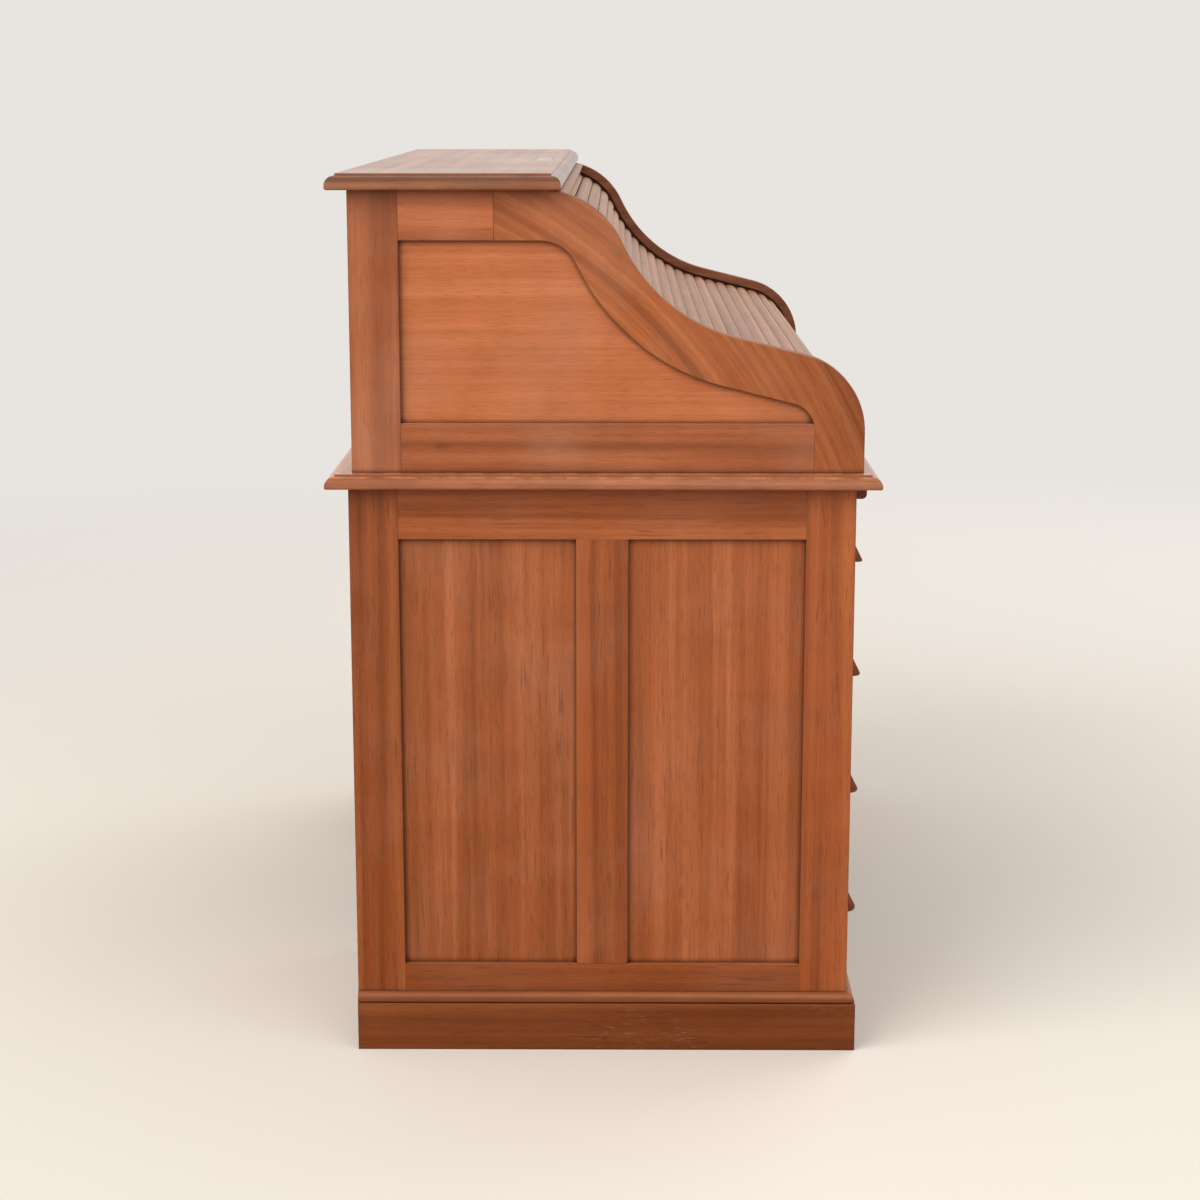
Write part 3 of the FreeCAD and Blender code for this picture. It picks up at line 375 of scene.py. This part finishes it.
def waxed_pine():
    """Planed pine under old wax: pale straw with brown latewood lines, darker and duller from handling."""
    material, tree = new_material("waxed_pine")
    grain = apart(tree, written(tree, "grain"))
    colour = add(tree, "ShaderNodeValToRGB", {"Fac": streaks(tree, grain, 700, 9, 2, 0.9)},
                 stops=[(0.35, linear("#B07F52")), (0.5, linear("#CFA374")), (0.62, linear("#D8B083")),
                        (0.68, linear("#B88657"))]).outputs["Color"]
    fibres = graded(tree, streaks(tree, grain, 60, 1.6, 2), 0.3, 0.7, 0.9, 1.08)
    colour = shaded(tree, colour, fibres)
    handling = clouds(tree, grain, 90)
    colour = tinted(tree, colour, linear("#8A5A36"), graded(tree, handling, 0.5, 0.8, 0, 0.4))
    # Dirt in the corners, plus painted shade there: the more closed in a corner is, the darker it is painted
    colour = tinted(tree, colour, linear("#3B2615"), corners(tree, 12, 0.6))
    normal = add(tree, "ShaderNodeBump", {"Strength": 0.15, "Distance": 0.4 * MM, "Height": fibres,
                                          "Normal": eased_edges(tree, 0.8)}).outputs[0]
    shader = add(tree, "ShaderNodeBsdfPrincipled",
                 {"Base Color": colour, "Roughness": graded(tree, handling, 0.3, 0.7, 0.5, 0.66), "IOR": 1.5,
                  "Specular IOR Level": 0.35, "Normal": normal})
    add(tree, "ShaderNodeOutputMaterial", {"Surface": shader.outputs[0]})
    return material


def glued_canvas():
    """Plain-woven cotton duck glued to the backs of the slats: matt, with threads that show as a grid."""
    material, tree = new_material("glued_canvas")
    at = object_place(tree)
    # Threads are 0.6 mm apart; they are drawn 1.6 mm apart so that they show
    thread_mm = 1.6
    # A wave texture of scale one turns by 20 radians in a metre
    radians_per_metre = 20
    scale = math.tau / radians_per_metre / (thread_mm * MM)
    warp = add(tree, "ShaderNodeTexWave", {"Vector": at, "Scale": scale}, bands_direction="X").outputs["Fac"]
    weft = add(tree, "ShaderNodeTexWave", {"Vector": written(tree, "grain"), "Scale": scale},
               bands_direction="Y").outputs["Fac"]
    weave = worked_out(tree, "MAXIMUM", warp, weft)
    colour = add(tree, "ShaderNodeValToRGB", {"Fac": clouds(tree, at, 80)},
                 stops=[(0.35, linear("#8C7654")), (0.65, linear("#B7A37E"))]).outputs["Color"]
    colour = shaded(tree, colour, graded(tree, weave, 0, 1, 0.7, 1.05))
    normal = add(tree, "ShaderNodeBump", {"Strength": 0.5, "Distance": 0.3 * MM, "Height": weave}).outputs[0]
    shader = add(tree, "ShaderNodeBsdfPrincipled",
                 {"Base Color": colour, "Roughness": 0.9, "IOR": 1.5, "Normal": normal, "Sheen Weight": 0.3})
    add(tree, "ShaderNodeOutputMaterial", {"Surface": shader.outputs[0]})
    return material


def aged_metal(name, bright, tarnish, rough):
    """Filed and brushed metal left to tarnish: dull in the hollows, rubbed bright where hands reach it."""
    material, tree = new_material(name)
    at = object_place(tree)
    open_sky = add(tree, "ShaderNodeAmbientOcclusion", {"Distance": 3 * MM}, samples=6).outputs["AO"]
    worn = worked_out(tree, "MULTIPLY", clouds(tree, at, 30), open_sky)
    colour = add(tree, "ShaderNodeValToRGB", {"Fac": worn},
                 stops=[(0.25, linear(tarnish)), (0.6, linear(bright))]).outputs["Color"]
    # A dark outline along the edges of each metal piece: painted shade, for the shadowed edge round the piece
    colour = tinted(tree, colour, linear("#1E140C"), joint_lines(tree, 2, 0.9))
    brushed = vector(tree, "MULTIPLY", at, (0.1, 1, 1))
    lines = add(tree, "ShaderNodeTexNoise", {"Vector": brushed, "Scale": 1 / (0.8 * MM), "Detail": 2})
    normal = add(tree, "ShaderNodeBump",
                 {"Strength": 0.1, "Distance": 0.1 * MM, "Height": lines.outputs["Fac"],
                  "Normal": eased_edges(tree, 0.4)}).outputs[0]
    gloss = graded(tree, worn, 0.2, 0.7, rough + 0.2, rough)
    shader = add(tree, "ShaderNodeBsdfPrincipled",
                 {"Base Color": colour, "Metallic": 1, "Roughness": gloss, "Normal": normal})
    add(tree, "ShaderNodeOutputMaterial", {"Surface": shader.outputs[0]})
    return material


FRAME_COLOURS = ("#7F4321", "#97512B", "#A96238")
BOARD_COLOURS = ("#905131", "#AB6841", "#BE7E57")
FRAME_WOOD = polished_mahogany("french_polished_mahogany_frames", *FRAME_COLOURS, band_mm=18)
MUNTIN_WOOD = polished_mahogany("french_polished_mahogany_muntins", *FRAME_COLOURS, band_mm=18, sapwood_mm=22)
UPPER_WOOD = polished_mahogany("french_polished_mahogany_upper_frames", "#84482A", "#9C5936", "#AF6B45",
                               band_mm=26, hazy=0.3, flecked=0.2, ease_mm=2.2, edge_wear_and_highlight=0.1, upward_edge_wear_and_highlight=0.9)
RAIL_WOOD = polished_mahogany("french_polished_mahogany_curved_rails", "#854623", "#A15A30", "#B56D41",
                              band_mm=12, hazy=0.22, flecked=0.2, ease_mm=2.2, edge_wear_and_highlight=0.1, upward_edge_wear_and_highlight=0.9,
                              swept=True)
# Darker wood for faces turned into the case: partly wood that light never faded, and partly painted shade for
# the shade inside the case
INSIDE_WOOD = polished_mahogany("unfaded_mahogany_inside_case_with_painted_shade", "#683A24", "#7A4930", "#89573C", band_mm=14)
PANEL_WOOD = polished_mahogany("french_polished_mahogany_panels", "#8E4E2C", "#A45D36", "#B56E47", band_mm=22,
                               hazy=0.2)
GALLERY_WOOD = polished_mahogany("french_polished_mahogany_upper_panels", "#B6693E", "#BE7146", "#C5794E",
                                 band_mm=16, porous=0.2, hazy=0.25, flecked=0.1)
PLINTH_WOOD = polished_mahogany("dark_polished_mahogany_plinths", "#743C1D", "#824725", "#8E522D", hazy=0,
                                corner_dirt_and_shade=0.35, scuffed=0.3)
MOULDING_WOOD = polished_mahogany("polished_mahogany_mouldings", "#7E4526", "#955633", "#A5653F", band_mm=12,
                                  hazy=0, shine=0.5, corner_dirt_and_shade=0.5, ease_mm=1.4)
BOARD_WOOD = polished_mahogany("french_polished_mahogany_boards", *BOARD_COLOURS, rough=0.3, shine=0.5,
                               coat=0.5, ease_mm=1.4, edge_wear_and_highlight=0.3, upward_edge_wear_and_highlight=0.3)
TOP_WOOD = polished_mahogany("french_polished_mahogany_top_board", *BOARD_COLOURS, rough=0.3, shine=0.5,
                             coat=0.5, ease_mm=1.4, edge_wear_and_highlight=0.3, upward_edge_wear_and_highlight=0.3, slope_shade=0.5)
SLAT_WOOD = polished_mahogany("faded_mahogany_slats", "#9C694B", "#B38062", "#C19173", band_mm=9,
                              haze="#CDB09A", hazy=0.3, rough=0.4, shine=0.5, corner_dirt_and_shade=0.35, flecked=0.15,
                              edge_wear_and_highlight=0, upward_edge_wear_and_highlight=0, jointed=False)
# The pulls and knobs are darker than the fronts they are cut from: painted shade, for the shade on their
# sides and under their lips
HANDLE_WOOD = polished_mahogany("darker_mahogany_pulls_as_painted_shade", "#672F18", "#783A1E", "#874626", band_mm=12, hazy=0,
                                rough=0.7, shine=0.12, ease_mm=3.5, edge_wear_and_highlight=0.3, upward_edge_wear_and_highlight=0.3, jointed=False)
PINE = waxed_pine()
CANVAS = glued_canvas()
BRASS = aged_metal("aged_brass", "#D2B27A", "#94733F", 0.26)
PLATED = aged_metal("nickel_plated_brass", "#E2DACC", "#CDBFA9", 0.14)
STEEL = aged_metal("oiled_steel", "#8C8A86", "#4A4340", 0.4)


# Which board of each node gets which wood
def dress_case():
    """Finish the desk itself, the slides, and the lift rail with its pulls and lock."""
    plain = {
        "plinth_left": PLINTH_WOOD, "plinth_right": PLINTH_WOOD, "plinth_mouldings": MOULDING_WOOD,
        # The slides take the darker plinth wood: painted shade, for the shadow under the writing board that
        # falls on their front lips
        "back_frames": FRAME_WOOD, "inner_sides": FRAME_WOOD, "slide_left": PLINTH_WOOD,
        "slide_right": PLINTH_WOOD, "lift_rail": FRAME_WOOD, "lift_pulls": HANDLE_WOOD,
        "tambour_valance": SLAT_WOOD, "pigeonhole_case": FRAME_WOOD, "pigeonhole_dividers": FRAME_WOOD,
        "kneehole_bearers": PINE, "top_plate": PLATED,
    }
    for name, material in plain.items():
        finish(name, lay_grain(name), lambda board: material)
    for name, material, tone in (("writing_board", BOARD_WOOD, 0.84), ("top_board", TOP_WOOD, 0.4)):
        finish(name, lay_grain(name, tones=(tone,)), lambda board: material)
    # Rear stile, front stile, muntin, top and bottom rail of a pedestal
    pedestal_tones = (0.36, 0.66, 0.42, 0.52, 0.4)
    # Rear stile, top and bottom rail of the case
    case_tones = (0.47, 0.9, 0.5)
    panel_tones = (0.36, 0.48, 0.36, 0.48)
    facing = 0.9
    for side, inward in (("left", 1), ("right", -1)):
        pedestal, case, curve = ("side_frame_" + side, "upper_frame_" + side, "curved_rail_" + side)
        boards = lay_grain(pedestal, tones=pedestal_tones)
        muntin = boards[2]
        finish(pedestal, boards, lambda board: MUNTIN_WOOD if board is muntin else FRAME_WOOD)
        finish(case, lay_grain(case, tones=case_tones), lambda board: UPPER_WOOD)
        finish(curve, lay_grain(curve), lambda board: RAIL_WOOD)
        # Faces turned into the case take the darker inside wood: partly unfaded wood, partly painted shade
        for name in (case, curve):
            finish_faces(name, INSIDE_WOOD, lambda face: face.normal.x * inward > facing)
    finish("side_panels", lay_grain("side_panels", Z, panel_tones), lambda board: PANEL_WOOD)
    finish("upper_panels", lay_grain("upper_panels", Y), lambda board: GALLERY_WOOD)
    finish("back_panels", lay_grain("back_panels", Z), lambda board: PANEL_WOOD)
    finish("drawer_rails", lay_grain("drawer_rails"),
           lambda board: FRAME_WOOD if board.axes[0] == X else PINE)
    thin = 1.5 * MM
    finish("tambour_lock", lay_grain("tambour_lock"),
           lambda board: BRASS if board.size[Y] < thin else STEEL)


def dress_drawers_and_slats():
    """Finish the drawers, and the pairs of slats with their canvas."""
    handle_width = 200 * MM
    knob_width = 30 * MM
    canvas_shorter = 5 * MM
    flush = 1 * MM
    for name in NODES:
        if name.endswith("_front"):
            finish(name, lay_grain(name),
                   lambda board: HANDLE_WOOD if board.size[X] < handle_width else FRAME_WOOD)
        elif name.endswith("_box"):
            finish(name, lay_grain(name), lambda board: PINE)
        elif name.startswith("tambour_slats"):
            boards = lay_grain(name)
            longest = max(board.size[X] for board in boards)
            finish(name, boards,
                   lambda board: SLAT_WOOD if board.size[X] > longest - canvas_shorter else CANVAS)
        elif name.startswith("small_drawer"):
            boards = lay_grain(name)
            front = min(board.low[Y] for board in boards if board.size[X] > knob_width)
            finish(name, boards,
                   lambda board: HANDLE_WOOD if board.size[X] < knob_width and board.size[Y] < knob_width
                   else FRAME_WOOD if board.low[Y] < front + flush else PINE)


# Studio
def seen_as_backdrop(tree):
    """One for what the camera sees straight or through glass, and where polish mirrors the far wall."""
    rays = add(tree, "ShaderNodeLightPath").outputs
    way = add(tree, "ShaderNodeNewGeometry").outputs["Incoming"]
    far_wall = graded(tree, split(tree, way)["X"], 0.1, -0.5)
    mirrored = worked_out(tree, "MULTIPLY", rays["Is Glossy Ray"], far_wall)
    seen = worked_out(tree, "MAXIMUM", rays["Is Camera Ray"], mirrored)
    return worked_out(tree, "MAXIMUM", seen, rays["Is Transmission Ray"])


def floor_plane(width, fade_start, fade_end):
    """A pale floor that fades into the background, and gives back only as much light as boards would."""
    mesh = bpy.data.meshes.new("studio_floor")
    half = width / 2
    around = [(-half, -half, 0), (half, -half, 0), (half, half, 0), (-half, half, 0)]
    mesh.from_pydata(around, [], [(0, 1, 2, 3)])
    floor = bpy.data.objects.new("studio_floor", mesh)
    bpy.context.scene.collection.objects.link(floor)
    material, tree = new_material("pale_painted_floor")
    away = add(tree, "ShaderNodeVectorMath", {0: object_place(tree)}, operation="LENGTH").outputs["Value"]
    colour = tinted(tree, linear("#A98B6E"), linear("#EDEAE6"), seen_as_backdrop(tree))
    paint = add(tree, "ShaderNodeBsdfDiffuse", {"Color": colour}).outputs[0]
    clear = add(tree, "ShaderNodeBsdfTransparent").outputs[0]
    fade = graded(tree, away, fade_start, fade_end)
    both = add(tree, "ShaderNodeMixShader", {0: fade, 1: paint, 2: clear}).outputs[0]
    add(tree, "ShaderNodeOutputMaterial", {"Surface": both})
    mesh.materials.append(material)


def studio_sky():
    """Soft light from all round, and a pale wall behind whatever is looked at."""
    world = bpy.data.worlds.new("studio")
    world.use_nodes = True
    tree = world.node_tree
    tree.nodes.clear()
    light = add(tree, "ShaderNodeBackground", {"Color": linear("#F4F1EC"), "Strength": 0.6}).outputs[0]
    wall = add(tree, "ShaderNodeBackground", {"Color": linear("#E8E4E0"), "Strength": 1}).outputs[0]
    both = add(tree, "ShaderNodeMixShader", {0: seen_as_backdrop(tree), 1: light, 2: wall}).outputs[0]
    add(tree, "ShaderNodeOutputWorld", {"Surface": both})
    bpy.context.scene.world = world


def window_light(name, place, width, height, power, mirrored=True):
    """A large soft lamp aimed at the desk; one that isn't mirrored leaves no white patch on polish."""
    middle = Vector((0, 0, 0.6))
    lamp = bpy.data.lights.new(name, "AREA")
    lamp.shape = "RECTANGLE"
    lamp.size = width
    lamp.size_y = height
    lamp.energy = power
    lamp.color = linear("#FFF7EC")[:3]
    holder = bpy.data.objects.new(name, lamp)
    holder.visible_glossy = mirrored
    holder.location = place
    holder.rotation_euler = (middle - Vector(place)).to_track_quat("-Z", "Y").to_euler()
    bpy.context.scene.collection.objects.link(holder)


def photo_camera():
    """The photograph's own view: the desk's left end, from just above the top board."""
    pitch = math.radians(11.69)
    yaw = math.radians(0.43)
    camera = bpy.data.cameras.new("photo_view")
    camera.sensor_width = 36
    camera.lens = 73.8
    holder = bpy.data.objects.new("photo_view", camera)
    holder.location = (-3.668, -0.0186, 1.230)
    ahead = Vector((math.cos(yaw) * math.cos(pitch), math.sin(yaw) * math.cos(pitch), -math.sin(pitch)))
    holder.rotation_euler = ahead.to_track_quat("-Z", "Y").to_euler()
    bpy.context.scene.collection.objects.link(holder)
    bpy.context.scene.camera = holder


dress_case()
dress_drawers_and_slats()
floor_plane(width=40, fade_start=1.4, fade_end=4.5)
studio_sky()
window_light("window_left", (-3.8, 3.8, 4.0), width=6.0, height=4.5, power=290, mirrored=False)
window_light("window_front", (-4.4, -3.2, 3.4), width=7.0, height=5.0, power=100)
window_light("window_right", (4.2, -3.6, 3.4), width=5.0, height=4.0, power=140, mirrored=False)
photo_camera()
bpy.context.scene.view_settings.view_transform = "Standard"
